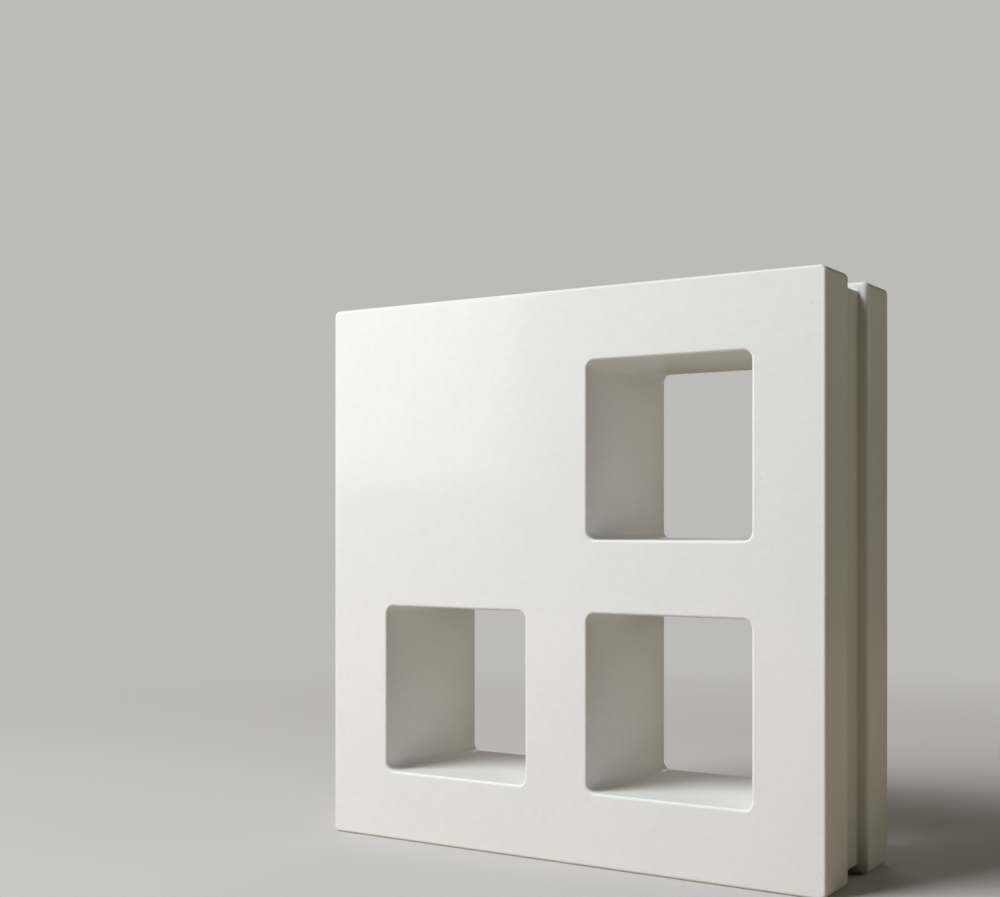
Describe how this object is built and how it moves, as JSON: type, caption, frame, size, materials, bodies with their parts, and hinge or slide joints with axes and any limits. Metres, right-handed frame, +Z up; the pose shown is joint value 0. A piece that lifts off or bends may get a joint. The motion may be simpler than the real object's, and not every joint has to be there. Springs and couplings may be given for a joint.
{
  "type": "concrete screen block",
  "caption": "Square white cast-concrete screen block with a blank quarter, open square windows and a shallow mortar groove round all its edges.",
  "frame": {"origin": "middle of the bed, on the surface that the block stands on", "axes": "+X to the right along the square face, +Y from the front face to the back face, +Z up"},
  "size_m": [0.305, 0.089, 0.305],
  "materials": {
    "white_concrete": "satin"
  },
  "bodies": {
    "root": {"breeze_block": "white_concrete"}
  },
  "joints": []
}
